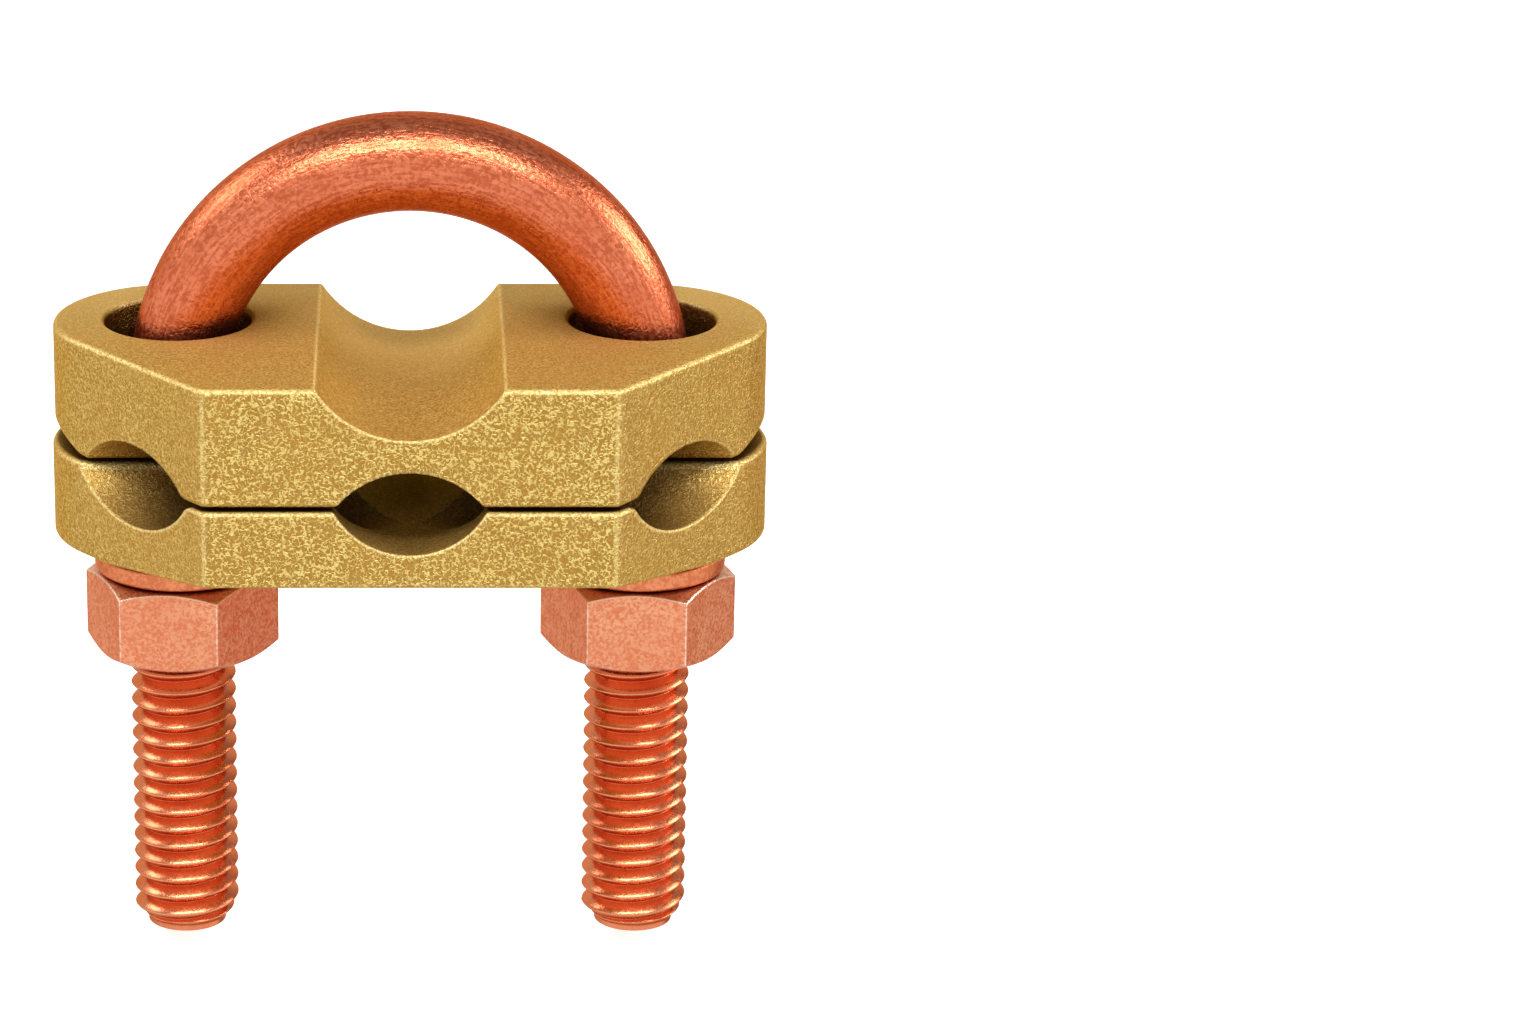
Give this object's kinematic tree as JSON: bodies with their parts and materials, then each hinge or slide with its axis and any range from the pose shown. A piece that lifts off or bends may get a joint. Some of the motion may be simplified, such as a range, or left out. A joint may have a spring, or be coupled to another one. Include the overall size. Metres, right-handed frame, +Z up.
{
  "type": "rod to cable clamp",
  "caption": "U-bolt clamp with two brass castings that grips an earth rod on a saddle and a cable between the castings.",
  "frame": {"origin": "midway between the U-bolt's legs, on the plane of the saddle casting's top", "axes": "+Z up towards the bend, +Y along the rod that the saddle takes, +X from the left leg to the right one"},
  "size_m": [0.0668, 0.0339, 0.0803],
  "materials": {
    "cast_brass": "fine sand-cast grain, satin",
    "copper_bar": "drawn bar, satin with faint lengthwise marks",
    "copper_washer": "satin with worn bright edges",
    "copper_nut": "tumbled satin with bright edges"
  },
  "bodies": {
    "saddle": {"upper_casting": "cast_brass"},
    "u_bolt": {"u_bolt": "copper_bar"},
    "keeper": {"lower_casting": "cast_brass"},
    "left_washers": {"flat_washer_left": "copper_washer", "spring_washer_left": "copper_washer"},
    "right_washers": {"flat_washer_right": "copper_washer", "spring_washer_right": "copper_washer"},
    "left_nut": {"nut_left": "copper_nut"},
    "right_nut": {"nut_right": "copper_nut"}
  },
  "joints": [
    {"name": "u_bolt_slide", "type": "slide", "parent": "saddle", "child": "u_bolt", "axis": [0, 0, 1], "range_m": [-0.0015, 0.004]},
    {"name": "keeper_slide", "type": "slide", "parent": "saddle", "child": "keeper", "axis": [0, 0, -1], "range_m": [0, 0.008]},
    {"name": "left_washer_slide", "type": "slide", "parent": "keeper", "child": "left_washers", "axis": [0, 0, -1], "range_m": [0, 0.01051]},
    {"name": "left_nut_turn", "type": "hinge", "parent": "left_washers", "child": "left_nut", "pos_m": [-0.0216, 0, -0.0284], "axis": [0, 0, -1], "range_deg": [0, 2160]},
    {"name": "right_washer_slide", "type": "slide", "parent": "keeper", "child": "right_washers", "axis": [0, 0, -1], "range_m": [0, 0.01051]},
    {"name": "right_nut_turn", "type": "hinge", "parent": "right_washers", "child": "right_nut", "pos_m": [0.0216, 0, -0.0284], "axis": [0, 0, -1], "range_deg": [0, 2160]}
  ],
  "couplings": [
    {"joint": "left_washer_slide", "follows": "left_nut_turn", "m_per_rad": 0.00027852},
    {"joint": "right_washer_slide", "follows": "right_nut_turn", "m_per_rad": 0.00027852}
  ]
}
